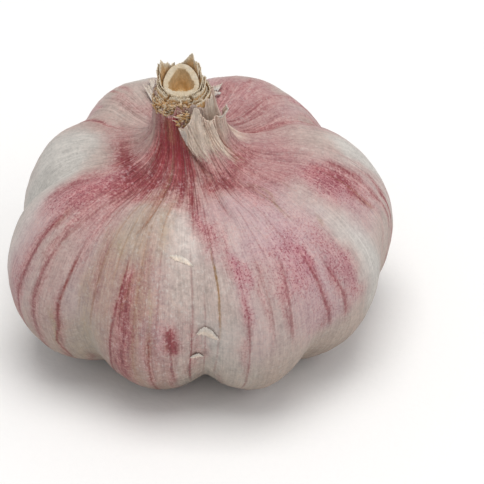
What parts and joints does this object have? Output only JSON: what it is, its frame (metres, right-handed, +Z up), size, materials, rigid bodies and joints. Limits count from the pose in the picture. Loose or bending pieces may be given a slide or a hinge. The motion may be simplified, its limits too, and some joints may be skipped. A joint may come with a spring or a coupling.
{
  "type": "garlic bulb",
  "caption": "Whole garlic bulb in striped papery skin with a cut stalk, standing on the undersides of its cloves.",
  "frame": {"origin": "on the table, under the middle of the outline seen from above", "axes": "+Z up along the bulb's axis, +X along its longest extent, with the neck leaning a little towards -X"},
  "size_m": [0.0635, 0.059, 0.05],
  "materials": {
    "striped_skin": "dry papery skin, whitish with wine red and purple stripes, satin",
    "pale_skin": "dry papery outer skin, cream to pale pink, ribbed lengthwise, satin",
    "dry_stalk": "dry cream plant fibre with tan pith, matt",
    "corky_root": "dry brown corky root plate with trimmed roots, matt"
  },
  "bodies": {
    "root": {"wrapped_bulb": "striped_skin", "torn_outer_skin": "pale_skin", "skin_scrap_left": "pale_skin", "skin_scrap_right": "pale_skin", "cut_stalk": "dry_stalk", "leaf_base_back_right": "dry_stalk", "leaf_base_back_left": "dry_stalk", "leaf_base_left": "dry_stalk", "leaf_base_front": "dry_stalk", "leaf_base_right": "dry_stalk", "root_plate": "corky_root"}
  },
  "joints": []
}
